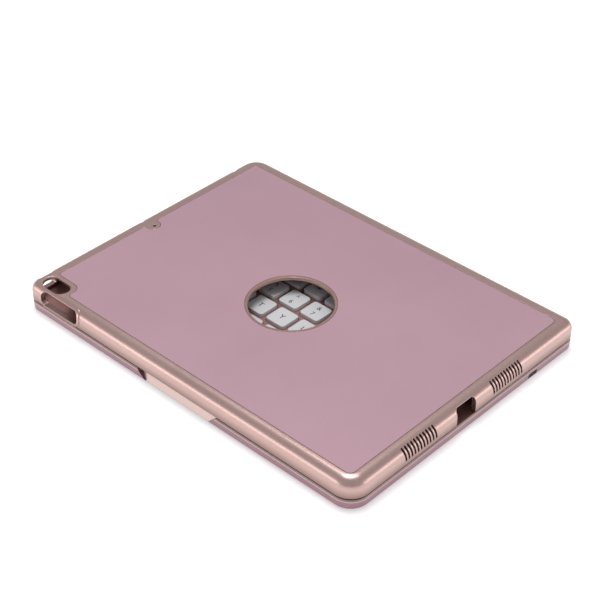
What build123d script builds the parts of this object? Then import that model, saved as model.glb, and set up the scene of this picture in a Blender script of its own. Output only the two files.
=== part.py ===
from build123d import *
import math
import os

# Clamshell keyboard case for a 10.5-inch tablet, shown closed: the keyboard half lies below,
# the tablet shell is hinged on top of it. Millimetres. X runs along the long edge, the front
# (finger scoop) faces -Y, the hinges are at +Y and +Z is up. While the pieces are made, x = y = 0
# is the middle of the tablet and z = 0 is the table; save() moves them to the origin, which is
# the middle of the bottom of the whole case.

# tablet that the shell holds
tablet_long = 250.6
tablet_short = 174.1
tablet_thick = 6.1
tablet_corner = 9.0
tablet_gap = 0.3

# shell of the case
side_wall = 3.0
front_wall = 3.05
rear_band = 14.05
outer_corner = 12.0
sharp_corner = 6.5
lid_round = 6.5
lid_lower_round = 1.6
lid_floor = 2.1
plate_thick = 0.8
glue_thick = 0.1
plate_groove = 0.25
pad_thick = 0.4
lip_height = 1.0
lip_reach = 0.8
lid_height = 12.9
seam_gap = 0.4
foot_height = 0.8
foot_sunk = 0.4
base_height = 6.2
deck_thick = 1.5
deck_chamfer = 0.7
tray_floor = 1.2
tray_wall = 4.6
tray_taper = 4.0
tray_lower_round = 1.2

half_x = tablet_long / 2 + tablet_gap + side_wall
front_y = -(tablet_short / 2 + tablet_gap + front_wall)
rear_y = tablet_short / 2 + tablet_gap + rear_band
body_y = rear_y - front_y
middle_y = (rear_y + front_y) / 2
base_z = foot_height
deck_top = base_z + base_height
deck_low = deck_top - deck_thick
tray_inside = base_z + tray_floor
lid_low = deck_top + seam_gap
lid_top = lid_low + lid_height
cavity_roof = lid_top - lid_floor
lip_top = cavity_roof - pad_thick - tablet_thick - 0.1
lip_low = lip_top - lip_height

# back plate, window and the cut-outs in the shell
plate_left = -119.2
plate_right = 120.8
plate_front = -83.45
plate_rear = 91.65
plate_corner = 3.5
window_outer = 26.8
window_inner = 25.1
window_wall = 1.2
camera_x = -111.9
camera_y = -81.5
camera_long = 19.0
camera_wide = 11.0
camera_bevel = 0.6
notch_x = -98.8
notch_y = -73.6
notch_corner = 6.0
notch_edge = 2.0
mic_x = -115.6
mic_y = -0.6
mic_r = 1.0
mic_notch = 4.8
volume_x = -100.0
volume_long = 32.0
volume_low = 9.9
volume_top = 18.6
volume_corner = 3.6
volume_lip = 1.7
lip_out = 0.45
port_y = 1.3
port_wide = 16.0
port_top = 18.7
port_corner = 2.2
slot_pitch = 2.46
slot_wide = 1.35
slot_low = 10.8
slot_lean = 12.0
right_slots = ((-36.8, 11, 19.4), (37.1, 11, 19.4))
left_slots = ((-59.0, 8, 19.7), (37.1, 11, 17.6))
power_y = -78.0
power_long = 12.0
jack_y = 79.0
jack_wide = 7.0
edge_mic_y = -1.4
edge_mic_wide = 5.3
edge_mic_low = 15.0
small_cut_low = 9.9
small_cut_top = 20.0
small_cut_deep = 4.2

# hinges
hinge_x = 88.0
barrel_r = 4.5
barrel_gap = 0.4
pin_r = 2.0
pin_fit = 0.02
pin_running = 0.05
side_knuckle = 12.0
mid_knuckle = 18.0
knuckle_gap = 0.3
washer_thick = 0.2
washer_r = 3.6
cap_thick = 1.2
leaf_half = 20.0
leaf_front = 89.0
arm_thick = 1.6
arm_low = lid_low + 0.5
bracket_low = tray_inside + 1.0
bracket_thick = 1.2
bracket_front = 84.0
axis_z = (deck_top + lid_low) / 2
hinge_half = mid_knuckle / 2 + knuckle_gap + side_knuckle
screw_r = 0.9
screw_head_r = 1.8
screw_head = 0.8
screw_gap = 0.05

# keyboard
key_pitch = 17.2
row_pitch = 17.45
key_gap = 2.6
row_gap = 2.85
key_high = 2.2
key_stand = 2.0
key_corner = 2.2
key_taper = 6.0
key_edge = 0.35
key_roof = 1.0
key_wall = 1.0
hole_gap = 0.35
number_row_y = 15.2
key_left = -123.4
key_total = 14.1
space_pitches = 4.75
function_first = 24.65
function_pitch = 16.5
membrane_thick = 0.3
support_thick = 0.4
support_half = 122.4
support_front = -63.6
support_rear = 41.6
dome_low_r = 2.6
dome_top_r = 1.5
dome_wall = 0.4
scissor_gap = 0.3
scissor_bar = 0.8
scissor_thick = 0.5
scissor_play = 0.4
dome_clear = 0.3
key_top = deck_top + key_stand
key_low = key_top - key_high
membrane_top = deck_low - 0.2
membrane_low = membrane_top - membrane_thick
support_low = membrane_low - support_thick
key_inner_top = key_top - key_roof

# other pieces in and on the base
groove_x = (-119.0, -103.5)
groove_y = -87.1
groove_wide = 1.4
groove_deep = 0.9
scoop_x = -2.0
scoop_long = 63.0
scoop_reach = 4.0
scoop_foot = 0.95
scoop_end = 6.5
usb_y = 61.4
usb_wide = 7.6
usb_high = 2.6
usb_z = 3.5
usb_deep = 5.6
switch_y = 60.0
switch_z = 3.5
switch_high = 2.2
switch_travel = 1.5
knob_long = 4.4
knob_gap = 0.35
boss_r = 2.2
lens_r = 0.9
lens_x = (96.0, 101.0, 106.0)
lens_y = 52.0
bumper_long = 16.0
bumper_wide = 3.0
bumper_high = 2.4
magnet_x = 60.0
magnet_long = 10.0
magnet_wide = 1.6
magnet_high = 2.4
battery = (-62.0, 30.0, 46.5, 88.0)
battery_thick = 3.0
board = (44.0, 119.0, 46.5, 81.0)
board_thick = 1.0


def block(x1, x2, y1, y2, z1, z2):
    return Pos((x1 + x2) / 2, (y1 + y2) / 2, (z1 + z2) / 2) * Box(x2 - x1, y2 - y1, z2 - z1)


def along_x(radius, x1, x2, y, z):
    return Pos((x1 + x2) / 2, y, z) * Rot(0, 90, 0) * Cylinder(radius, x2 - x1)


def upright(radius, x, y, z1, z2):
    return Pos(x, y, (z1 + z2) / 2) * Cylinder(radius, z2 - z1)


def rounded(wide, deep, corner, z1, z2, taper=0.0, at=(0, 0)):
    outline = Pos(at[0], at[1], z1) * RectangleRounded(wide, deep, corner)
    return extrude(outline, z2 - z1, taper=taper)


def pill(x, y, long, wide, z1, z2):
    return extrude(Pos(x, y, z1) * SlotOverall(long, wide), z2 - z1)


def all_of(shapes):
    """Joins a list of separate solids into one compound."""
    return Compound(children=[solid for shape in shapes for solid in shape.solids()])


def save(name, shape):
    moved = Pos(0, -(front_y - lip_out + rear_y + barrel_r) / 2, 0) * all_of([shape])
    export_step(moved, f"parts/{name}.step")


def plate_outline(grow):
    """Outline of the back plate, grown all round, with its camera and microphone notches."""
    wide = plate_right - plate_left
    deep = plate_rear - plate_front
    outline = Rectangle(wide, deep)
    outline = Pos((plate_left + plate_right) / 2, (plate_front + plate_rear) / 2) * outline
    corner = Pos(notch_x, notch_y) * Rectangle(60, 40, align=(Align.MAX, Align.MAX))
    outline -= corner
    outline -= Pos(mic_x - 1.2, mic_y) * Circle(mic_notch)

    def near(x, y):
        return [v for v in outline.vertices() if abs(v.X - x) < 0.01 and abs(v.Y - y) < 0.01]

    outline = fillet(near(notch_x, notch_y), notch_corner)
    outline = fillet(near(notch_x, plate_front) + near(plate_left, notch_y), notch_edge)
    at_mic = [v for v in outline.vertices() if abs(v.X - plate_left) < 0.01 and abs(v.Y - mic_y) < 6]
    outline = fillet(at_mic, notch_edge)
    far = near(plate_right, plate_front) + near(plate_right, plate_rear) + near(plate_left, plate_rear)
    outline = fillet(far, plate_corner)
    if grow:
        outline = offset(outline, grow)
    return outline


def back_plate():
    outline = plate_outline(0) - Circle(window_outer + plate_groove)
    solid = extrude(Pos(0, 0, lid_top - plate_thick) * outline, plate_thick)
    return solid


def plate_adhesive():
    outline = plate_outline(-2.0) - Circle(window_outer + 2.0)
    return extrude(Pos(0, 0, lid_top - plate_thick - glue_thick) * outline, glue_thick)


def window_ring():
    """Flush ring with a thin wall that lines the hole through the shell."""
    recess = lid_top - plate_thick - glue_thick
    ring = upright(window_outer, 0, 0, recess, lid_top)
    ring += upright(window_inner + window_wall, 0, 0, cavity_roof, recess)
    ring -= upright(window_inner, 0, 0, cavity_roof - 1, lid_top + 1)
    rim = ring.edges().filter_by(GeomType.CIRCLE)
    inner = [e for e in rim if abs(e.radius - window_inner) < 0.01 and e.center().Z > lid_top - 0.01]
    return chamfer(inner, 0.4)


def case_outline(grow=0.0):
    """Outline of the case from above; the front left and rear right corners are the sharper ones."""
    half_long, half_deep = half_x + grow, body_y / 2 + grow
    outline = Pos(0, middle_y) * Rectangle(2 * half_long, 2 * half_deep)
    for side, corner in ((1, sharp_corner), (-1, outer_corner)):
        ends = [v for v in outline.vertices() if side * v.X * (v.Y - middle_y) > half_long * half_deep - 0.01]
        outline = fillet(ends, corner + grow)
    return outline


def lid_shell(grow=0.0):
    """Outer form of the lid: rounded rectangle with a large upper and a small lower round."""
    shell = extrude(Pos(0, 0, lid_low - grow) * case_outline(grow), lid_height + 2 * grow)
    shell = fillet(shell.faces().sort_by(Axis.Z)[-1].edges(), lid_round + grow)
    return fillet(shell.faces().sort_by(Axis.Z)[0].edges(), lid_lower_round + grow)


def tray_hollow():
    wide = tablet_long + 2 * tablet_gap
    deep = tablet_short + 2 * tablet_gap
    lip = 2 * lip_reach
    upper = rounded(wide, deep, tablet_corner, lip_top, cavity_roof)
    middle = rounded(wide - lip, deep - lip, tablet_corner - lip_reach, lip_low, lip_top)
    lower = rounded(wide, deep, tablet_corner, lid_low - 1, lip_low)
    return upper + middle + lower


def speaker_slots(side, groups):
    """Rows of narrow slots through one short wall; side is 1 for +X and -1 for -X."""
    slots = []
    for centre, count, top in groups:
        slot = Box(2 * side_wall + 4.0, slot_wide, top - slot_low)
        slot = fillet(slot.edges().filter_by(Axis.X), slot_wide * 0.45)
        for i in range(count):
            y = centre + (i - (count - 1) / 2) * slot_pitch
            slots.append(Pos(side * half_x, y, (slot_low + top) / 2) * Rot(slot_lean, 0, 0) * slot)
    return slots


def side_cut(x1, x2, y, wide, z1, z2, corner):
    """Cut-out through a short wall, rounded in the plane of that wall."""
    cut = block(x1, x2, y - wide / 2, y + wide / 2, z1, z2)
    return fillet(cut.edges().filter_by(Axis.X), corner)


def volume_cut(grow, y1, y2):
    """Long rounded opening over the volume buttons, grown all round."""
    half = volume_long / 2 + grow
    cut = block(volume_x - half, volume_x + half, y1, y2, volume_low - grow, volume_top + grow)
    return fillet(cut.edges().filter_by(Axis.Y), volume_corner + grow)


def camera_cut():
    """Hole for the camera with a bevelled rim."""
    hole = pill(camera_x, camera_y, camera_long, camera_wide, cavity_roof - 1, lid_top + 1)
    high = 0.5
    rim = Pos(camera_x, camera_y, lid_top + high)
    rim *= SlotOverall(camera_long + 2 * (camera_bevel + high), camera_wide + 2 * (camera_bevel + high))
    return hole + extrude(rim, -(camera_bevel + high), taper=45)


def lid_cuts():
    inner = half_x - small_cut_deep
    cuts = [camera_cut(), upright(mic_r, mic_x, mic_y, cavity_roof - 1, lid_top + 1)]
    cuts.append(volume_cut(0, front_y - 2, front_y + front_wall + 1.4))
    cuts.append(side_cut(inner, half_x + 2, port_y, port_wide, lid_low - 6, port_top, port_corner))
    for y, wide, low in ((power_y, power_long, small_cut_low), (jack_y, jack_wide, small_cut_low),
                         (edge_mic_y, edge_mic_wide, edge_mic_low)):
        cuts.append(side_cut(-half_x - 2, -inner, y, wide, low, small_cut_top, 2.0))
    return cuts + speaker_slots(1, right_slots) + speaker_slots(-1, left_slots)


def lid_screw_places():
    return [(side * hinge_x + shift, leaf_front + 3.6) for side in (-1, 1) for shift in (-14.5, 14.5)]


def hinge_room():
    """Room for both hinge barrels, taken out of either half of the case."""
    reach = hinge_half + cap_thick + 0.4
    return [along_x(barrel_r + barrel_gap, side * hinge_x - reach, side * hinge_x + reach, rear_y, axis_z)
            for side in (-1, 1)]


def arm_room():
    """Recess in the underside of the lid for each hinge arm."""
    room = []
    neck = mid_knuckle / 2 + knuckle_gap
    leaf = leaf_half + 0.15
    top = arm_low + arm_thick
    for centre in (-hinge_x, hinge_x):
        room.append(block(centre - leaf, centre + leaf, leaf_front - 0.1, leaf_rear() + 0.2, lid_low - 1, top))
        room.append(block(centre - neck, centre + neck, leaf_front, rear_y, lid_low - 1, top))
    return room


def lid_frame():
    recess_low = lid_top - plate_thick - glue_thick
    lip = lid_shell(lip_out) & volume_cut(volume_lip, front_y - 2, front_y + front_wall)
    lip -= upright(600, 0, 0, 0, lid_low + 0.6)
    frame = lid_shell() + lip
    recess = plate_outline(plate_groove) + Circle(window_outer)
    cuts = [tray_hollow(), extrude(Pos(0, 0, recess_low) * recess, 5)]
    cuts.append(upright(window_inner + window_wall, 0, 0, cavity_roof - 1, lid_top + 1))
    cuts += lid_cuts() + hinge_room() + arm_room() + magnet_room()
    for x, y in lid_screw_places():
        cuts.append(upright(screw_r + screw_gap, x, y, arm_low, arm_low + arm_thick + 4.2))
    return frame - cuts


def tray_pads():
    """Thin soft strips between the roof of the tray and the tablet."""
    places = [(-85, 60), (85, 60), (-85, -60), (85, -60)]
    return all_of([block(x - 20, x + 20, y - 4, y + 4, cavity_roof - pad_thick, cavity_roof) for x, y in places])


def magnet_blocks(y1, y2, z1, z2, grow):
    return [block(side * magnet_x - magnet_long / 2 - grow, side * magnet_x + magnet_long / 2 + grow,
                  y1 - grow, y2, z1 - grow, z2 + grow) for side in (-1, 1)]


def magnet_room():
    """Pockets for the lid magnets, open to the inside of the tray."""
    rear = front_y + front_wall
    return magnet_blocks(rear - magnet_wide, rear + 1, lid_low + 0.5, lid_low + 0.5 + magnet_high, 0.1)


def lid_magnets():
    rear = front_y + front_wall
    return all_of(magnet_blocks(rear - magnet_wide, rear, lid_low + 0.5, lid_low + 0.5 + magnet_high, 0))


def leaf_rear():
    return rear_y - barrel_r - barrel_gap - 0.2


def lid_hinge_arms():
    arms = []
    for side in (-1, 1):
        centre = side * hinge_x
        half = mid_knuckle / 2
        arm = along_x(barrel_r, centre - half, centre + half, rear_y, axis_z)
        arm += block(centre - half, centre + half, leaf_rear() - 1, rear_y, arm_low, arm_low + arm_thick)
        arm += block(centre - leaf_half, centre + leaf_half, leaf_front, leaf_rear(), arm_low, arm_low + arm_thick)
        arm -= along_x(pin_r + pin_running, centre - half - 1, centre + half + 1, rear_y, axis_z)
        arms.append(arm)
    arms = all_of(arms)
    for x, y in lid_screw_places():
        arms -= upright(screw_r + screw_gap, x, y, arm_low - 1, arm_low + arm_thick + 1)
        arms -= upright(screw_head_r + screw_gap, x, y, arm_low - 1, arm_low + screw_head)
    return arms


def lid_hinge_screws():
    screws = []
    for x, y in lid_screw_places():
        screw = upright(screw_head_r, x, y, arm_low, arm_low + screw_head)
        screw += upright(screw_r, x, y, arm_low + screw_head, arm_low + arm_thick + 4)
        screw -= Pos(x, y, arm_low) * Box(0.5, 2.2, 0.7)
        screws.append(screw)
    return all_of(screws)


def bracket_screw_places():
    return [(side * hinge_x + shift, bracket_front + 4.0) for side in (-1, 1) for shift in (-14.5, 14.5)]


def base_hinge_brackets():
    brackets = []
    top = bracket_low + bracket_thick
    for side in (-1, 1):
        centre = side * hinge_x
        bracket = block(centre - leaf_half, centre + leaf_half, bracket_front, leaf_rear(), bracket_low, top)
        for hand in (-1, 1):
            near = centre + hand * (mid_knuckle / 2 + knuckle_gap)
            far = centre + hand * hinge_half
            x1, x2 = min(near, far), max(near, far)
            bracket += block(x1, x2, leaf_rear() - 1, rear_y, bracket_low, top)
            bracket += along_x(barrel_r, x1, x2, rear_y, axis_z)
        bracket -= along_x(pin_r + pin_fit, centre - hinge_half - 1, centre + hinge_half + 1, rear_y, axis_z)
        brackets.append(bracket)
    brackets = all_of(brackets)
    for x, y in bracket_screw_places():
        brackets -= upright(screw_r + screw_gap, x, y, bracket_low - 1, top + 1)
    return brackets


def base_hinge_screws():
    top = bracket_low + bracket_thick
    screws = []
    for x, y in bracket_screw_places():
        screw = upright(screw_head_r, x, y, top, top + screw_head)
        screw += upright(screw_r, x, y, base_z + 0.5, top)
        screw -= Pos(x, y, top + screw_head) * Box(0.5, 2.2, 0.7)
        screws.append(screw)
    return all_of(screws)


def hinge_pins():
    return all_of([along_x(pin_r, side * hinge_x - hinge_half, side * hinge_x + hinge_half, rear_y, axis_z)
                   for side in (-1, 1)])


def friction_washers():
    washers = []
    for side in (-1, 1):
        for hand in (-1, 1):
            middle = side * hinge_x + hand * (mid_knuckle + knuckle_gap) / 2
            x1, x2 = middle - washer_thick / 2, middle + washer_thick / 2
            washer = along_x(washer_r, x1, x2, rear_y, axis_z)
            washers.append(washer - along_x(pin_r + pin_running, x1 - 1, x2 + 1, rear_y, axis_z))
    return all_of(washers)


def hinge_end_caps():
    caps = []
    for side in (-1, 1):
        for hand in (-1, 1):
            near = side * hinge_x + hand * hinge_half
            far = near + hand * cap_thick
            cap = along_x(barrel_r, min(near, far), max(near, far), rear_y, axis_z)
            outer = cap.edges().filter_by(GeomType.CIRCLE).sort_by(Axis.X)[-1 if hand > 0 else 0]
            caps.append(fillet(outer, 0.6))
    return all_of(caps)


def scoop():
    """Wedge that leaves the sloping finger facet in the front edge of the base."""
    low, high = base_z - 1, deck_top + 1
    slope = (scoop_reach - scoop_foot) / (deck_top - base_z)
    profile = Polyline((front_y - 8, low), (front_y + scoop_foot - slope, low),
                       (front_y + scoop_reach + slope, high), (front_y - 8, high), close=True)
    wedge = extrude(Plane.YZ * make_face(profile), scoop_long, both=True)
    spread = scoop_end / (deck_top - base_z)
    top_half, low_half = scoop_long / 2 + spread, scoop_long / 2 - scoop_end - spread
    outline = Polyline((-low_half, low), (low_half, low), (top_half, high), (-top_half, high), close=True)
    ends = extrude(Plane.XZ * make_face(outline), 150, both=True)
    return Pos(scoop_x, 0, 0) * (wedge & ends)


def tray_shell():
    """Tray with leaning sides, smaller at the bottom."""
    inset = (deck_low - base_z) * math.tan(math.radians(tray_taper))
    shell = loft([Pos(0, 0, base_z) * case_outline(-inset), Pos(0, 0, deck_low) * case_outline()])
    return fillet(shell.faces().sort_by(Axis.Z)[0].edges(), tray_lower_round)


def base_screw_places():
    front = [(x, -78.0) for x in (-115, -40, 40, 115)]
    middle = [(x, 44.2) for x in (-75, 75)]
    rear = [(x, 93.8) for x in (-35, 35)] + [(x, 88.0) for x in (-119.5, 119.5)]
    return front + middle + rear


def foot_places():
    return [(x, y) for x in (-105, 105) for y in (-72, 84)]


def wall_x(z):
    """Outer face of the leaning side walls at a height."""
    return half_x - (deck_low - z) * math.tan(math.radians(tray_taper))


def key_rib_places():
    return [number_row_y + row_pitch * (1.5 - i) for i in range(1, 6)]


def usb_room():
    half = usb_wide / 2 + 0.2
    room = block(half_x - 7, half_x + 2, usb_y - half, usb_y + half, usb_z - usb_high / 2 - 0.2,
                 usb_z + usb_high / 2 + 0.2)
    return fillet(room.edges().filter_by(Axis.X), 0.7)


def switch_room(x1, x2):
    half = knob_long / 2 + switch_travel + knob_gap
    return block(x1, x2, switch_y - half, switch_y + half, switch_z - switch_high / 2, switch_z + switch_high / 2)


def keeper_blocks(grow):
    rear = front_y + tray_wall - 0.4
    return magnet_blocks(rear - magnet_wide, rear + grow, deck_low - 0.1 - magnet_high, deck_low - 0.1, grow)


def bracket_room():
    """Slots in the rear wall of the tray, open at the top, for the necks of the hinge brackets."""
    reach = hinge_half + cap_thick + 0.4
    return [block(centre - reach, centre + reach, bracket_front, rear_y - 1, bracket_low - 0.05, deck_low + 1)
            for centre in (-hinge_x, hinge_x)]


def base_tray():
    tray = tray_shell()
    pocket = rounded(2 * (half_x - tray_wall), body_y - 2 * tray_wall, outer_corner - tray_wall,
                     tray_inside, deck_low + 1, at=(0, middle_y))
    tray -= pocket
    adds = [upright(boss_r, x, y, tray_inside, deck_low) for x, y in base_screw_places()]
    adds += [upright(boss_r, x, y, tray_inside, bracket_low) for x, y in bracket_screw_places()]
    adds += [block(-116, 116, y - 0.6, y + 0.6, tray_inside, support_low) for y in key_rib_places()]
    tray += adds
    cuts = [scoop(), usb_room(), switch_room(-half_x - 2, -half_x + 7)] + hinge_room() + bracket_room()
    cuts += [block(k.min.X, k.max.X, k.min.Y, k.max.Y, k.min.Z, deck_low + 1)
             for k in (b.bounding_box() for b in keeper_blocks(0.1))]
    for x, y in base_screw_places():
        cuts.append(upright(screw_r + screw_gap, x, y, base_z - 1, deck_low + 1))
        cuts.append(upright(screw_head_r + screw_gap, x, y, base_z - 1, base_z + screw_head))
    for x, y in bracket_screw_places():
        cuts.append(upright(screw_r + screw_gap, x, y, base_z + 0.4, bracket_low + 1))
    cuts += [pill(x, y, 22, 7, base_z - 1, base_z + foot_sunk) for x, y in foot_places()]
    return tray - cuts


def rubber_feet():
    feet = []
    for x, y in foot_places():
        foot = pill(x, y, 21.8, 6.8, 0, base_z + foot_sunk)
        feet.append(fillet(foot.faces().sort_by(Axis.Z)[0].edges(), 0.4))
    return all_of(feet)


def base_screws():
    screws = []
    for x, y in base_screw_places():
        screw = upright(screw_head_r, x, y, base_z, base_z + screw_head)
        screw += upright(screw_r, x, y, base_z + screw_head, deck_low + 0.8)
        screw -= Pos(x, y, base_z) * (Box(0.5, 2.2, 0.7) + Box(2.2, 0.5, 0.7))
        screws.append(screw)
    return all_of(screws)


def deck_plate():
    plate = extrude(Pos(0, 0, deck_low) * case_outline(), deck_thick)
    plate = chamfer(plate.faces().sort_by(Axis.Z)[-1].edges(), deck_chamfer)
    holes = Sketch() + [Pos(k["x"], k["y"]) * RectangleRounded(k["wide"] + 2 * hole_gap, k["deep"] + 2 * hole_gap,
                                                               key_corner + hole_gap) for k in keys()]
    plate -= extrude(Pos(0, 0, deck_low - 1) * holes, deck_thick + 2)
    cuts = [scoop()] + hinge_room()
    cuts += [upright(screw_r + screw_gap, x, y, deck_low - 1, deck_low + 0.9) for x, y in base_screw_places()]
    cuts += [upright(lens_r + 0.02, x, lens_y, deck_low - 1, deck_top + 1) for x in lens_x]
    cuts += [pill(x, y, bumper_long + 0.1, bumper_wide + 0.1, deck_top - 0.5, deck_top + 1)
             for x, y in bumper_places()]
    cuts.append(block(*groove_x, groove_y, groove_y + groove_wide, deck_top - groove_deep, deck_top + 1))
    return plate - cuts


def bumper_places():
    return [(x, y) for x in (-60, 60) for y in (-82.5, 81.5)]


def screen_bumpers():
    """Soft strips on the deck that keep the tablet's glass off the keys."""
    bumpers = []
    for x, y in bumper_places():
        bumper = pill(x, y, bumper_long, bumper_wide, deck_top - 0.5, deck_top - 0.5 + bumper_high)
        bumpers.append(fillet(bumper.faces().sort_by(Axis.Z)[-1].edges(), 0.6))
    return all_of(bumpers)


def keeper_magnets():
    return all_of(keeper_blocks(0))


def indicator_lenses():
    return all_of([upright(lens_r, x, lens_y, deck_low - 0.4, deck_top - 0.1) for x in lens_x])


def battery_cell():
    x1, x2, y1, y2 = battery
    cell = block(x1, x2, y1, y2, tray_inside, tray_inside + battery_thick)
    return fillet(cell.edges().filter_by(Axis.X), battery_thick * 0.4)


def main_board():
    x1, x2, y1, y2 = board
    top = tray_inside + board_thick
    plate = block(x1, x2, y1, y2, tray_inside, top)
    plate += block(x1 + 8, x1 + 18, y1 + 8, y1 + 18, top, top + 0.9)
    plate += block(x1 + 26, x1 + 32, y1 + 20, y1 + 26, top, top + 0.8)
    plate += block(lens_x[0] - 2, lens_x[-1] + 2, lens_y - 1.5, lens_y + 1.5, top, deck_low - 0.4)
    return plate


def charging_port():
    mouth = wall_x(usb_z) - 0.9
    back = board[1] + 0.1
    low, high = usb_z - usb_high / 2, usb_z + usb_high / 2
    shell = block(back, mouth, usb_y - usb_wide / 2, usb_y + usb_wide / 2, low, high)
    shell = fillet(shell.edges().filter_by(Axis.X), 0.6)
    shell -= block(mouth - usb_deep, mouth + 1, usb_y - usb_wide / 2 + 0.4, usb_y + usb_wide / 2 - 0.4,
                   low + 0.4, high - 0.4)
    return shell + block(mouth - usb_deep - 0.2, mouth - 0.8, usb_y - 2.4, usb_y + 2.4, usb_z - 0.1, usb_z + 0.5)


def power_switch_housing():
    inner = half_x - tray_wall
    case = block(-inner, -inner + 5.5, switch_y - 6.5, switch_y + 6.5, tray_inside, deck_low - 0.3)
    return case - switch_room(-inner - 1, -inner + 3.6)


def power_switch_knob():
    """Slider in its off place, at the front end of its slot."""
    outer = wall_x(switch_z) + 0.6
    half_high = switch_high / 2 - 0.3
    y = switch_y - switch_travel
    knob = block(-outer, -half_x + tray_wall + 3.2, y - knob_long / 2, y + knob_long / 2,
                 switch_z - half_high, switch_z + half_high)
    grooves = [block(-outer - 1, -outer + 0.35, y + shift - 0.25, y + shift + 0.25, switch_z - 2, switch_z + 2)
               for shift in (-1.2, 0, 1.2)]
    return knob - grooves


def key_row(y, kinds):
    """Places the keys of one row from left to right; kinds are (node, width in pitches)."""
    x = key_left
    row = []
    for node, pitches in kinds:
        wide = pitches * key_pitch
        row.append({"node": node, "x": x + wide / 2, "y": y, "wide": wide - key_gap, "deep": row_pitch - row_gap})
        x += wide
    return row


def letters(text):
    return [(f"key_{letter}", 1) for letter in text]


def keys():
    """Every key with its node, place and size."""
    total = key_total
    control, symbol, number = "control_keys", "symbol_keys", "number_keys"
    rows = [[(symbol, 1)] + [(number, 1)] * 10 + [(symbol, 1)] * 2 + [(control, total - 13)],
            [(control, 1.38)] + letters("qwertyuiop") + [(symbol, 1)] * 2 + [(symbol, total - 13.38)],
            [(control, 1.70)] + letters("asdfghjkl") + [(symbol, 1)] * 2 + [(control, total - 12.70)],
            [(control, 2.20)] + letters("zxcvbnm") + [(symbol, 1)] * 3 + [(control, total - 12.20)],
            [(control, 1)] * 2 + [(control, 1.1), (control, 1.25), ("space_bar", space_pitches), (control, 1.25),
                                  (control, 1), (control, 0.9), (control, 0.95), (control, 0.9)]]
    places = []
    for i, kinds in enumerate(rows):
        places += key_row(number_row_y - i * row_pitch, kinds)
    places = places[:-2] + split_key(places[-2]) + places[-1:]
    fn = function_pitch / key_pitch
    last = total - function_first / key_pitch - 12 * fn
    kinds = [("function_keys", function_first / key_pitch)] + [("function_keys", fn)] * 12
    return places + key_row(number_row_y + row_pitch, kinds + [("function_keys", last)])


def split_key(key):
    """The up and down arrows share one place, one above the other."""
    deep = (key["deep"] - 1.2) / 2
    shift = (key["deep"] - deep) / 2
    return [dict(key, y=key["y"] + way * shift, deep=deep) for way in (1, -1)]


def key_cap(key):
    cap = extrude(Pos(0, 0, key_low) * RectangleRounded(key["wide"], key["deep"], key_corner),
                  key_high, taper=key_taper)
    cap = fillet(cap.faces().sort_by(Axis.Z)[-1].edges(), key_edge)
    hollow_x, hollow_y = key["wide"] - 2 * key_wall, key["deep"] - 2 * key_wall
    cap -= block(-hollow_x / 2, hollow_x / 2, -hollow_y / 2, hollow_y / 2, key_low - 1, key_inner_top)
    return Pos(key["x"], key["y"]) * cap


def scissor_size(key):
    wide = min(11.0, key["wide"] - 2 * key_wall - 1.4)
    deep = min(9.2, key["deep"] - 2 * key_wall - 1.0)
    return wide, deep


def scissor_pair(key):
    """Two crossed frames that guide one key; the narrow one swings inside the wide one."""
    wide, deep = scissor_size(key)
    rise = key_inner_top - scissor_gap - membrane_top
    lean = math.degrees(math.asin((rise - scissor_thick) / deep))
    frames = []
    for size, way in ((wide, 1), (wide - 2 * scissor_bar - scissor_play, -1)):
        ring = Box(size, deep, scissor_thick) - Box(size - 2 * scissor_bar, deep - 2 * scissor_bar, 2)
        low = ring_low(deep, lean)
        frames.append(Pos(key["x"], key["y"], membrane_top + low) * Rot(way * lean, 0, 0) * ring)
    return frames


def ring_low(deep, lean):
    """Height of a leaning ring's middle above its lowest corner."""
    turn = math.radians(lean)
    return deep / 2 * math.sin(turn) + scissor_thick / 2 * math.cos(turn)


def scissor_frames():
    return all_of([frame for key in keys() for frame in scissor_pair(key)])


def rubber_dome(key):
    wide, deep = scissor_size(key)
    opening = min(wide - 4 * scissor_bar - scissor_play, deep - 2 * scissor_bar)
    low_r = min(dome_low_r, opening / 2 - dome_clear)
    top_r = low_r * dome_top_r / dome_low_r
    high = key_inner_top - scissor_gap - membrane_top
    dome = Cone(low_r, top_r, high) - Pos(0, 0, -dome_wall) * Cone(low_r - dome_wall, top_r - dome_wall, high)
    return Pos(key["x"], key["y"], membrane_top + high / 2) * dome


def rubber_domes():
    return all_of([rubber_dome(key) for key in keys()])


def membrane_sheet():
    return block(-support_half, support_half, support_front, support_rear, membrane_low, membrane_top)


def key_support_plate():
    plate = block(-support_half, support_half, support_front, support_rear, support_low, membrane_low)
    holes = [upright(1.5, x, y, support_low - 1, membrane_low + 1) for x in (-90, -30, 30, 90)
             for y in (-55, -2, 33)]
    return plate - holes


def save_keys():
    nodes = {}
    for key in keys():
        nodes.setdefault(key["node"], []).append(key_cap(key))
    for name, caps in nodes.items():
        save(name, all_of(caps))


pieces = [lid_frame, back_plate, plate_adhesive, window_ring, tray_pads, lid_magnets, lid_hinge_arms,
          lid_hinge_screws, base_hinge_brackets, base_hinge_screws, hinge_pins, friction_washers,
          hinge_end_caps, base_tray, rubber_feet, base_screws, deck_plate, screen_bumpers, keeper_magnets,
          indicator_lenses, battery_cell, main_board, charging_port, power_switch_housing, power_switch_knob,
          scissor_frames, rubber_domes, membrane_sheet, key_support_plate]

os.makedirs("parts", exist_ok=True)
for piece in pieces:
    save(piece.__name__, piece())
save_keys()
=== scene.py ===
import math

import bmesh
import bpy
from mathutils import Matrix, Vector


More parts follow.
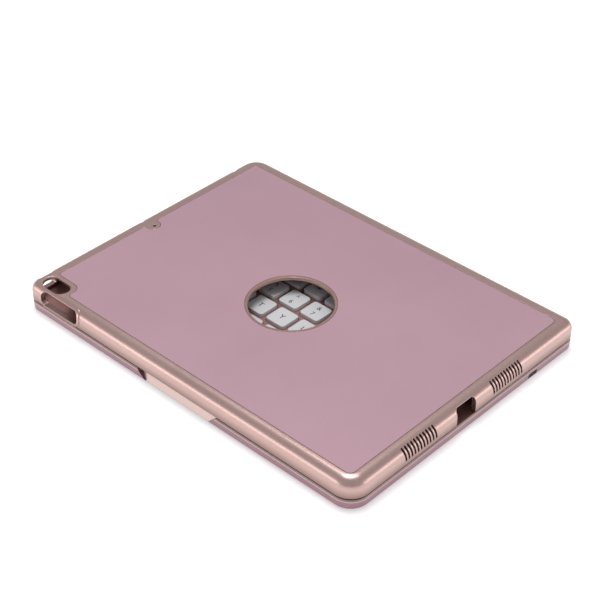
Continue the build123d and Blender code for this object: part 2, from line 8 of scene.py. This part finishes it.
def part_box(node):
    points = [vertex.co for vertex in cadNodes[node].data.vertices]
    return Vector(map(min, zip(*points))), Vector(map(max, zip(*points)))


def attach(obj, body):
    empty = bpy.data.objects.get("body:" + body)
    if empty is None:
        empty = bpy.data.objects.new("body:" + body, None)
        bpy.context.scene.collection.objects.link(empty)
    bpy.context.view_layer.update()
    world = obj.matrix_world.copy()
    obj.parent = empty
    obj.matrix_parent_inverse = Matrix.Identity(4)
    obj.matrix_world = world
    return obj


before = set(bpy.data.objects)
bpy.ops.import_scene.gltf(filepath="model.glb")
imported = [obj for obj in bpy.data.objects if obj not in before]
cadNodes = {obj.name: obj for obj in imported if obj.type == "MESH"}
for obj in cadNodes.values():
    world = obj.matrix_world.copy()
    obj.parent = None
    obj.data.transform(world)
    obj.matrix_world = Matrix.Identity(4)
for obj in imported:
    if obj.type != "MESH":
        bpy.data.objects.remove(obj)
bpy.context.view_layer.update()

mm = 0.001


def newMaterial(name):
    material = bpy.data.materials.new(name)
    material.use_nodes = True
    return material, material.node_tree, material.node_tree.nodes["Principled BSDF"]


def coordinates(tree):
    return tree.nodes.new("ShaderNodeTexCoord").outputs["Object"]


# Noise in the piece's own place; stretch scales the pattern along X, Y and Z
def noise(tree, scale, detail=3.0, roughness=0.55, stretch=None):
    node = tree.nodes.new("ShaderNodeTexNoise")
    node.inputs["Scale"].default_value = scale
    node.inputs["Detail"].default_value = detail
    node.inputs["Roughness"].default_value = roughness
    place = coordinates(tree)
    if stretch:
        mapping = tree.nodes.new("ShaderNodeMapping")
        mapping.inputs["Scale"].default_value = stretch
        tree.links.new(place, mapping.inputs["Vector"])
        place = mapping.outputs["Vector"]
    tree.links.new(place, node.inputs["Vector"])
    return node.outputs["Fac"]


# Maps a pattern's middle range onto low to high
def spread(tree, value, low, high, fromLow=0.3, fromHigh=0.7):
    node = tree.nodes.new("ShaderNodeMapRange")
    node.inputs["From Min"].default_value = fromLow
    node.inputs["From Max"].default_value = fromHigh
    node.inputs["To Min"].default_value = low
    node.inputs["To Max"].default_value = high
    tree.links.new(value, node.inputs["Value"])
    return node.outputs["Result"]


# Mixes two colours, each a tuple or another node's output
def mixColours(tree, factor, first, second):
    node = tree.nodes.new("ShaderNodeMix")
    node.data_type = "RGBA"
    tree.links.new(factor, node.inputs["Factor"])
    for socket, colour in ((node.inputs[6], first), (node.inputs[7], second)):
        if isinstance(colour, tuple):
            socket.default_value = (*colour, 1.0)
        else:
            tree.links.new(colour, socket)
    return node.outputs[2]


# Fine relief; edge rounds sharp corners in the shading by that radius in metres
def addBump(tree, shader, height, strength, distance, edge=0.0):
    bump = tree.nodes.new("ShaderNodeBump")
    bump.inputs["Strength"].default_value = strength
    bump.inputs["Distance"].default_value = distance
    tree.links.new(height, bump.inputs["Height"])
    if edge:
        bevel = tree.nodes.new("ShaderNodeBevel")
        bevel.samples = 6
        bevel.inputs["Radius"].default_value = edge
        tree.links.new(bevel.outputs["Normal"], bump.inputs["Normal"])
    tree.links.new(bump.outputs["Normal"], shader.inputs["Normal"])


# 0 at the lower height and below, 1 at the upper height and above
def heightIn(tree, low, high):
    place = tree.nodes.new("ShaderNodeSeparateXYZ")
    tree.links.new(coordinates(tree), place.inputs["Vector"])
    return spread(tree, place.outputs["Z"], 0.0, 1.0, low, high)


# Satin metallic finish: fine flakes, faint clouding and an uneven gloss; where the look gives foot heights,
# painted shade darkens the colour towards the bottom
def flakeCoat(name, look):
    material, tree, shader = newMaterial(name)
    flakes = noise(tree, look["flakeScale"], 2.0, 0.7)
    clouds = noise(tree, look["cloudScale"], 3.0)
    body = mixColours(tree, spread(tree, clouds, 0.0, 1.0), look["colour"], look["shade"])
    tinted = mixColours(tree, spread(tree, flakes, 0.0, look["flakes"], 0.45, 0.75), body, look["flake"])
    # painted shade: under the upper foot height the colour fades to the dark shade colour, fully dark under
    # the lower one
    if "foot" in look:
        tinted = mixColours(tree, heightIn(tree, *look["foot"]), look["footColour"], tinted)
    tree.links.new(tinted, shader.inputs["Base Color"])
    tree.links.new(spread(tree, flakes, look["gloss"][0], look["gloss"][1]), shader.inputs["Roughness"])
    shader.inputs["Metallic"].default_value = look["metal"]
    shader.inputs["Coat Weight"].default_value = look["coat"]
    shader.inputs["Coat Roughness"].default_value = 0.3
    addBump(tree, shader, flakes, look["relief"], 0.02 * mm, look["edge"])
    return material


# The foot heights and the dark foot colour of the lid frame are painted shade, darker towards the bottom of
# its wall
roseCoat = dict(colour=(0.53, 0.36, 0.335), shade=(0.49, 0.33, 0.305), flake=(0.80, 0.60, 0.54),
                flakes=0.4, flakeScale=2400, cloudScale=18, gloss=(0.27, 0.38), metal=0.88, coat=0.10,
                relief=0.3, edge=0.4 * mm, foot=(6.4 * mm, 14.0 * mm), footColour=(0.16, 0.082, 0.07))
mauvePlate = dict(colour=(0.515, 0.326, 0.382), shade=(0.48, 0.298, 0.35), flake=(0.66, 0.48, 0.54),
                  flakes=0.35, flakeScale=3000, cloudScale=12, gloss=(0.42, 0.55), metal=0.5, coat=0.0,
                  relief=0.35, edge=0.1 * mm)
roseRing = dict(colour=(0.52, 0.33, 0.285), shade=(0.48, 0.30, 0.26), flake=(0.80, 0.60, 0.52), flakes=0.3,
                flakeScale=3000, cloudScale=40, gloss=(0.24, 0.34), metal=0.9, coat=0.0, relief=0.2,
                edge=0.2 * mm)
deckMetal = dict(colour=(0.42, 0.22, 0.205), shade=(0.38, 0.195, 0.18), flake=(0.66, 0.43, 0.39), flakes=0.4,
                 flakeScale=3000, cloudScale=15, gloss=(0.34, 0.48), metal=0.75, coat=0.0, relief=0.35,
                 edge=0.15 * mm)
mauveTray = dict(colour=(0.34, 0.195, 0.235), shade=(0.31, 0.175, 0.212), flake=(0.55, 0.37, 0.42),
                 flakes=0.3, flakeScale=2800, cloudScale=14, gloss=(0.32, 0.44), metal=0.7, coat=0.05,
                 relief=0.25, edge=0.25 * mm)
brightMetal = (0.49, 0.365, 0.34)


# 1 on the machined finger facet, which leans by a known slope in the front edge, else 0
def facetMask(tree, plane):
    place = tree.nodes.new("ShaderNodeSeparateXYZ")
    tree.links.new(coordinates(tree), place.inputs["Vector"])
    lean = tree.nodes.new("ShaderNodeMath")
    lean.operation = "MULTIPLY_ADD"
    tree.links.new(place.outputs["Z"], lean.inputs[0])
    lean.inputs[1].default_value = plane["slope"]
    lean.inputs[2].default_value = plane["footY"]
    gap = tree.nodes.new("ShaderNodeMath")
    gap.operation = "SUBTRACT"
    tree.links.new(place.outputs["Y"], gap.inputs[0])
    tree.links.new(lean.outputs[0], gap.inputs[1])
    near = tree.nodes.new("ShaderNodeMath")
    near.operation = "COMPARE"
    tree.links.new(gap.outputs[0], near.inputs[0])
    near.inputs[1].default_value = 0.0
    near.inputs[2].default_value = plane["near"]
    return near.outputs[0]


# Adds a bright polished stretch where the mask says, over a coated finish
def machinedEdge(material, edge):
    tree = material.node_tree
    shader = tree.nodes["Principled BSDF"]
    mask = edge(tree)
    colour = shader.inputs["Base Color"].links[0].from_socket
    tree.links.new(mixColours(tree, mask, colour, brightMetal), shader.inputs["Base Color"])
    gloss = shader.inputs["Roughness"].links[0].from_socket
    blend = tree.nodes.new("ShaderNodeMix")
    tree.links.new(mask, blend.inputs["Factor"])
    tree.links.new(gloss, blend.inputs[2])
    blend.inputs[3].default_value = 0.32
    tree.links.new(blend.outputs[0], shader.inputs["Roughness"])
    return material


# 1 on the polished chamfer that runs round the deck, from its leaning surface
def deckRim(tree):
    split = tree.nodes.new("ShaderNodeSeparateXYZ")
    tree.links.new(tree.nodes.new("ShaderNodeNewGeometry").outputs["Normal"], split.inputs["Vector"])
    flat = tree.nodes.new("ShaderNodeMath")
    flat.operation = "LESS_THAN"
    flat.inputs[1].default_value = 0.9
    tree.links.new(split.outputs["Z"], flat.inputs[0])
    return flat.outputs[0]


# Plain moulded or painted plastic with a fine spark-eroded grain
def mouldedPlastic(name, colour, shade, gloss, grain=1800, relief=0.3, edge=0.15 * mm):
    material, tree, shader = newMaterial(name)
    fine = noise(tree, grain, 4.0, 0.65)
    broad = noise(tree, 60, 2.0)
    body = mixColours(tree, spread(tree, broad, 0.0, 1.0), colour, shade)
    tree.links.new(body, shader.inputs["Base Color"])
    tree.links.new(spread(tree, fine, gloss - 0.06, gloss + 0.08), shader.inputs["Roughness"])
    addBump(tree, shader, fine, relief, 0.03 * mm, edge)
    return material


# Rolled or turned metal with fine lines along one direction
def brushedMetal(name, colour, gloss, along=(1.0, 1.0, 1.0)):
    material, tree, shader = newMaterial(name)
    lines = noise(tree, 900, 3.0, 0.6, along)
    darker = tuple(c * 0.86 for c in colour)
    body = mixColours(tree, spread(tree, lines, 0.0, 1.0), colour, darker)
    tree.links.new(body, shader.inputs["Base Color"])
    tree.links.new(spread(tree, lines, gloss - 0.06, gloss + 0.1), shader.inputs["Roughness"])
    shader.inputs["Metallic"].default_value = 1.0
    addBump(tree, shader, lines, 0.15, 0.02 * mm, 0.1 * mm)
    return material


# Green lacquer over copper tracks
def boardLaminate():
    material, tree, shader = newMaterial("board_laminate")
    tracks = tree.nodes.new("ShaderNodeTexBrick")
    tracks.inputs["Scale"].default_value = 90
    tracks.inputs["Mortar Size"].default_value = 0.03
    tracks.inputs["Color1"].default_value = (0.02, 0.12, 0.05, 1)
    tracks.inputs["Color2"].default_value = (0.03, 0.15, 0.06, 1)
    tracks.inputs["Mortar"].default_value = (0.10, 0.30, 0.12, 1)
    tree.links.new(coordinates(tree), tracks.inputs["Vector"])
    tree.links.new(tracks.outputs["Color"], shader.inputs["Base Color"])
    tree.links.new(spread(tree, noise(tree, 400), 0.25, 0.45), shader.inputs["Roughness"])
    return material


def lensGlass():
    material, tree, shader = newMaterial("lens_clear")
    tint = noise(tree, 500)
    colour = mixColours(tree, spread(tree, tint, 0.0, 1.0), (0.75, 0.92, 0.80), (0.68, 0.86, 0.74))
    tree.links.new(colour, shader.inputs["Base Color"])
    shader.inputs["Roughness"].default_value = 0.15
    shader.inputs["Coat Weight"].default_value = 0.6
    return material


# Gives CAD nodes a material in place of their plain one
def dress(names, material):
    for name in names:
        data = cadNodes[name].data
        data.materials.clear()
        data.materials.append(material)


letterNodes = ["key_" + letter for letter in "qwertyuiopasdfghjklzxcvbnm"]
keyNodes = letterNodes + ["space_bar", "number_keys", "symbol_keys", "function_keys", "control_keys"]

facet = dict(foot=0.95 * mm, reach=4.0 * mm, top=7.0 * mm, near=0.06 * mm)
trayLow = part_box("base_tray")[0]
facet["slope"] = (facet["reach"] - facet["foot"]) / (facet["top"] - trayLow[2])
facet["footY"] = trayLow[1] + facet["foot"] - facet["slope"] * trayLow[2]


def onFacet(tree):
    return facetMask(tree, facet)


dress(["lid_frame"], flakeCoat("rose_coat", roseCoat))
dress(["back_plate"], flakeCoat("mauve_plate", mauvePlate))
dress(["window_ring"], flakeCoat("rose_ring", roseRing))
dress(["base_tray"], machinedEdge(flakeCoat("mauve_tray", mauveTray), onFacet))
dress(["deck_plate"], machinedEdge(flakeCoat("deck_metal", deckMetal), deckRim))
dress(["hinge_end_caps"], flakeCoat("cap_metal", dict(roseRing, edge=0.1 * mm)))
dress(keyNodes,
      mouldedPlastic("key_plastic", (0.66, 0.665, 0.68), (0.63, 0.635, 0.65), 0.5, 2200, 0.35, 0.3 * mm))
dress(["base_hinge_brackets", "lid_hinge_arms"],
      brushedMetal("hinge_steel", (0.55, 0.53, 0.52), 0.3, (1, 8, 8)))
dress(["hinge_pins", "friction_washers"],
      brushedMetal("pin_steel", (0.68, 0.67, 0.66), 0.22, (8, 1, 1)))
dress(["base_screws", "lid_hinge_screws", "base_hinge_screws"],
      brushedMetal("screw_steel", (0.42, 0.40, 0.39), 0.3))
dress(["lid_magnets", "keeper_magnets"], brushedMetal("nickel_plate", (0.72, 0.71, 0.68), 0.18))
dress(["charging_port"], brushedMetal("port_steel", (0.60, 0.60, 0.61), 0.25, (2, 8, 8)))
dress(["key_support_plate"], brushedMetal("support_steel", (0.50, 0.50, 0.50), 0.35, (1, 10, 10)))
dress(["rubber_feet"],
      mouldedPlastic("foot_rubber", (0.030, 0.029, 0.030), (0.04, 0.038, 0.04), 0.7, 1200, 0.5))
dress(["screen_bumpers"],
      mouldedPlastic("bumper_rubber", (0.20, 0.13, 0.13), (0.17, 0.11, 0.11), 0.65, 1200, 0.4))
dress(["tray_pads"],
      mouldedPlastic("pad_foam", (0.045, 0.042, 0.042), (0.06, 0.055, 0.055), 0.85, 900, 0.8))
dress(["rubber_domes"],
      mouldedPlastic("dome_silicone", (0.72, 0.72, 0.69), (0.66, 0.66, 0.63), 0.45, 700, 0.2))
dress(["scissor_frames"],
      mouldedPlastic("scissor_plastic", (0.70, 0.70, 0.67), (0.64, 0.64, 0.62), 0.4))
dress(["membrane_sheet"],
      mouldedPlastic("membrane_film", (0.10, 0.11, 0.10), (0.14, 0.15, 0.13), 0.35, 500, 0.15))
dress(["plate_adhesive"],
      mouldedPlastic("glue_film", (0.60, 0.58, 0.52), (0.54, 0.52, 0.47), 0.4, 600, 0.2))
dress(["power_switch_housing"],
      mouldedPlastic("housing_plastic", (0.02, 0.02, 0.02), (0.03, 0.03, 0.03), 0.45))
dress(["power_switch_knob"],
      mouldedPlastic("knob_plastic", (0.045, 0.04, 0.042), (0.06, 0.055, 0.057), 0.4))
dress(["battery_cell"], brushedMetal("cell_foil", (0.62, 0.63, 0.65), 0.35, (1, 6, 6)))
dress(["main_board"], boardLaminate())
dress(["indicator_lenses"], lensGlass())
print("materials on the packed pieces")


legend = dict(letter=5.4 * mm, digit=4.6 * mm, word=3.0 * mm, sign=3.4 * mm, thick=0.02 * mm, rise=3.7 * mm,
              ink=(0.03, 0.03, 0.033), stroke=0.004)


# Flat lettering centred on the origin, as a mesh in a new bmesh
def textShape(text, size):
    curve = bpy.data.curves.new("lettering", "FONT")
    curve.body = text
    curve.size = size
    curve.align_x = "CENTER"
    curve.align_y = "CENTER"
    curve.resolution_u = 4
    curve.offset = legend["stroke"] * size
    holder = bpy.data.objects.new("lettering", curve)
    bpy.context.scene.collection.objects.link(holder)
    bpy.context.view_layer.update()
    mesh = bpy.data.meshes.new_from_object(holder)
    bpy.data.objects.remove(holder)
    shape = bmesh.new()
    shape.from_mesh(mesh)
    bpy.data.meshes.remove(mesh)
    bmesh.ops.remove_doubles(shape, verts=shape.verts, dist=size * 0.0005)
    lows = [min(v.co[k] for v in shape.verts) for k in (0, 1)]
    highs = [max(v.co[k] for v in shape.verts) for k in (0, 1)]
    middle = Vector(((lows[0] + highs[0]) / 2, (lows[1] + highs[1]) / 2, 0))
    bmesh.ops.translate(shape, verts=shape.verts, vec=-middle)
    return shape


# Adds a flat bar, used to draw signs
def bar(shape, x, y, wide, high, turn=0.0):
    made = bmesh.ops.create_grid(shape, x_segments=1, y_segments=1, size=0.5)["verts"]
    place = Matrix.Translation((x, y, 0)) @ Matrix.Rotation(math.radians(turn), 4, "Z")
    bmesh.ops.transform(shape, verts=made, matrix=place @ Matrix.Diagonal((wide, high, 1, 1)))


def ring(shape, x, y, radius, width):
    made = bmesh.ops.create_circle(shape, segments=20, radius=radius)["verts"]
    edges = list({e for v in made for e in v.link_edges})
    rim = bmesh.ops.extrude_edge_only(shape, edges=edges)["geom"]
    inner = [g for g in rim if isinstance(g, bmesh.types.BMVert)]
    bmesh.ops.scale(shape, verts=inner, vec=(1 - width / radius,) * 2 + (1,))
    bmesh.ops.translate(shape, verts=list(set(made) | set(inner)), vec=(x, y, 0))


def wedgeShape(shape, x, y, size, turn):
    made = bmesh.ops.create_circle(shape, segments=3, radius=size, cap_ends=True)["verts"]
    place = Matrix.Translation((x, y, 0)) @ Matrix.Rotation(math.radians(turn), 4, "Z")
    bmesh.ops.transform(shape, verts=made, matrix=place)


# Plain pictures for the function row, drawn from bars, rings and wedges in units of one
def signShape(kind):
    shape = bmesh.new()
    if kind == "home":
        for x, y, w, h in ((0, 0.42, 1, 0.12), (0, -0.42, 1, 0.12),
                           (-0.44, 0, 0.12, 0.9), (0.44, 0, 0.12, 0.9)):
            bar(shape, x, y, w, h)
    if kind in ("dim", "bright"):
        ring(shape, 0, 0, 0.2, 0.08)
        reach = 0.38 if kind == "dim" else 0.46
        for i in range(8):
            turn = i * 45
            x, y = math.cos(math.radians(turn)) * reach, math.sin(math.radians(turn)) * reach
            bar(shape, x, y, 0.10 if kind == "dim" else 0.2, 0.08, turn)
    if kind == "keyboard":
        for x, y, w, h in ((0, 0.4, 1.3, 0.1), (0, -0.4, 1.3, 0.1),
                           (-0.62, 0, 0.1, 0.8), (0.62, 0, 0.1, 0.8)):
            bar(shape, x, y, w, h)
        for row in (0.17, -0.02):
            for column in range(4):
                bar(shape, -0.36 + column * 0.24, row, 0.12, 0.1)
        bar(shape, 0, -0.21, 0.6, 0.09)
    if kind == "search":
        ring(shape, -0.08, 0.08, 0.32, 0.1)
        bar(shape, 0.28, -0.28, 0.4, 0.12, -45)
    if kind in ("back", "next", "play"):
        turn = {"back": 90, "next": -90, "play": -90}[kind]
        side = -1 if kind == "back" else 1
        if kind == "play":
            wedgeShape(shape, -0.2, 0, 0.36, turn)
            bar(shape, 0.25, 0, 0.11, 0.6)
            bar(shape, 0.47, 0, 0.11, 0.6)
        else:
            wedgeShape(shape, -side * 0.28, 0, 0.34, turn)
            wedgeShape(shape, side * 0.2, 0, 0.34, turn)
            bar(shape, side * 0.47, 0, 0.1, 0.6)
    if kind in ("mute", "quieter", "louder"):
        bar(shape, -0.3, 0, 0.2, 0.3)
        wedgeShape(shape, -0.12, 0, 0.36, 90)
        waves = {"mute": 0, "quieter": 1, "louder": 2}[kind]
        for i in range(waves):
            bar(shape, 0.28 + i * 0.2, 0, 0.08, 0.35 + i * 0.25)
    if kind == "lock":
        bar(shape, 0, -0.15, 0.7, 0.5)
        for x, y, w, h in ((-0.2, 0.25, 0.1, 0.3), (0.2, 0.25, 0.1, 0.3), (0, 0.42, 0.5, 0.1)):
            bar(shape, x, y, w, h)
    if kind == "link":
        ring(shape, -0.25, 0, 0.26, 0.1)
        ring(shape, 0.25, 0, 0.26, 0.1)
    if kind == "copy":
        for shift in (-0.14, 0.14):
            for x, y, w, h in ((0, 0.3, 0.6, 0.09), (0, -0.3, 0.6, 0.09),
                               (-0.28, 0, 0.09, 0.6), (0.28, 0, 0.09, 0.6)):
                bar(shape, x + shift, y - shift, w, h)
    return shape


# Moves a drawn shape to its key and adds it to the legend mesh
def addShape(target, shape, x, y, z, scale=1.0):
    place = Matrix.Translation((x, y, z)) @ Matrix.Scale(scale, 4)
    bmesh.ops.transform(shape, verts=shape.verts, matrix=place)
    mesh = bpy.data.meshes.new("part")
    shape.to_mesh(mesh)
    shape.free()
    target.from_mesh(mesh)
    bpy.data.meshes.remove(mesh)


rowPitch = 17.45 * mm


# Middle and top of each cap in a node, row by row from the back and left to right
def keyPlaces(node):
    loose = bmesh.new()
    loose.from_mesh(cadNodes[node].data)
    bmesh.ops.remove_doubles(loose, verts=loose.verts, dist=0.001 * mm)
    waiting = set(loose.verts)
    found = []
    while waiting:
        island, edge = set(), [waiting.pop()]
        while edge:
            vert = edge.pop()
            island.add(vert)
            for link in vert.link_edges:
                other = link.other_vert(vert)
                if other in waiting:
                    waiting.discard(other)
                    edge.append(other)
        xs, ys, zs = ([v.co[k] for v in island] for k in range(3))
        found.append(((min(xs) + max(xs)) / 2, (min(ys) + max(ys)) / 2, max(zs)))
    loose.free()
    back = max(y for x, y, z in found)

    def order(place):
        return round((back - place[1]) / rowPitch), round(place[0] / mm), -place[1]

    return sorted(found, key=order)


def pieceFrom(shape, name, material):
    mesh = bpy.data.meshes.new(name)
    shape.to_mesh(mesh)
    shape.free()
    piece = bpy.data.objects.new(name, mesh)
    bpy.context.scene.collection.objects.link(piece)
    piece.data.materials.append(material)
    return piece


legendInk = mouldedPlastic("legend_ink", legend["ink"], (0.07, 0.07, 0.075), 0.45, 900, 0.1, 0.0)
lettersOf = {node: [[(node[-1].upper(), "letter", 0)]] for node in letterNodes}
pairs = {"number_keys": ["1!", "2@", "3#", "4$", "5%", "6^", "7&", "8*", "9(", "0)"],
         "symbol_keys": ["`~", "-_", "=+", "[{", "]}", "\\|", ";:", "'\"", ",<", ".>", "/?"]}
for node, texts in pairs.items():
    lettersOf[node] = [[(text[0], "digit", -1), (text[1], "digit", 1)] for text in texts]
words = ["del", "tab", "caps", "enter", "shift", "shift", "fn", "ctrl", "alt", "cmd", "cmd", "alt",
         "←", "↑", "↓", "→"]
lettersOf["control_keys"] = [[(word, "word", 0)] for word in words]
signs = ["home", "dim", "bright", "keyboard", "search", "copy", "link", "keyboard", "back", "play", "next",
         "mute", "quieter", "louder"]
arrowTurns = {"←": 90, "↑": 0, "↓": 180, "→": -90}


# All the lettering of one body, as one piece just above its caps
def legendFor(node):
    shape = bmesh.new()
    places = keyPlaces(node)
    lift = legend["thick"]
    if node == "function_keys":
        for (x, y, z), kind in zip(places, signs):
            addShape(shape, signShape(kind), x, y, z + lift, legend["sign"])
    else:
        for (x, y, z), marks in zip(places, lettersOf[node]):
            for text, size, row in marks:
                if text in arrowTurns:
                    arrow = bmesh.new()
                    wedgeShape(arrow, 0, 0, 0.4, arrowTurns[text])
                    addShape(shape, arrow, x, y, z + lift, legend["word"])
                else:
                    up = y + row * legend["rise"] * 0.85
                    addShape(shape, textShape(text, legend[size]), x, up, z + lift)
    faces = bmesh.ops.extrude_face_region(shape, geom=list(shape.faces))["geom"]
    lower = [g for g in faces if isinstance(g, bmesh.types.BMVert)]
    bmesh.ops.translate(shape, verts=lower, vec=(0, 0, -lift * 0.9))
    bmesh.ops.recalc_face_normals(shape, faces=shape.faces)
    piece = pieceFrom(shape, "legend_" + node, legendInk)
    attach(piece, node)
    return piece


for node in keyNodes:
    if node != "space_bar":
        legendFor(node)
print("legends on the keys")


stage = dict(floor=3.0, floorColour=(0.92, 0.915, 0.915), glow=0.38,
             world=(0.97, 0.96, 0.98), worldLight=0.52)


def floorPlane():
    shape = bmesh.new()
    bmesh.ops.create_grid(shape, x_segments=1, y_segments=1, size=stage["floor"])
    material, tree, shader = newMaterial("floor_paper")
    tone = mixColours(tree, spread(tree, noise(tree, 3), 0.0, 1.0), stage["floorColour"], (0.915, 0.91, 0.91))
    tree.links.new(tone, shader.inputs["Base Color"])
    shader.inputs["Roughness"].default_value = 0.9
    shader.inputs["Emission Color"].default_value = (1, 1, 1, 1)
    shader.inputs["Emission Strength"].default_value = stage["glow"]
    floor = pieceFrom(shape, "floor", material)
    floor.location.z = -0.0002


def softLight(name, place, target, size, power, tint=(1, 1, 1)):
    lamp = bpy.data.lights.new(name, "AREA")
    lamp.shape = "RECTANGLE"
    lamp.size, lamp.size_y = size
    lamp.energy = power
    lamp.color = tint
    holder = bpy.data.objects.new(name, lamp)
    holder.location = place
    holder.rotation_euler = (Vector(target) - Vector(place)).to_track_quat("-Z", "Y").to_euler()
    bpy.context.scene.collection.objects.link(holder)


def studio():
    world = bpy.data.worlds.new("studio")
    world.use_nodes = True
    background = world.node_tree.nodes["Background"]
    background.inputs["Color"].default_value = (*stage["world"], 1)
    background.inputs["Strength"].default_value = stage["worldLight"]
    bpy.context.scene.world = world
    softLight("keyTop", (-0.15, 0.1, 1.5), (0, 0, 0), (0.7, 0.7), 12.5)
    softLight("leftCard", (-0.95, -1.45, 0.18), (0, 0, 0.02), (1.5, 0.46), 5.4, (1, 0.985, 0.975))
    softLight("rightCard", (1.55, 1.05, 0.18), (0, 0, 0.02), (1.5, 0.46), 5.4, (1, 0.985, 0.975))


def cameraAtView():
    view = bpy.data.cameras.new("viewCamera")
    view.sensor_width = 36.0
    view.lens = 96.17
    view.clip_start = 0.05
    view.clip_end = 20
    holder = bpy.data.objects.new("viewCamera", view)
    place, target = Vector((0.5091, -0.5397, 0.5781)), Vector((0.0017, -0.0019, 0.0203))
    holder.location = place
    holder.rotation_euler = (target - place).to_track_quat("-Z", "Y").to_euler()
    bpy.context.scene.collection.objects.link(holder)
    bpy.context.scene.camera = holder


floorPlane()
studio()
cameraAtView()
bpy.context.scene.view_settings.view_transform = "Standard"
print("stage, lights and camera")
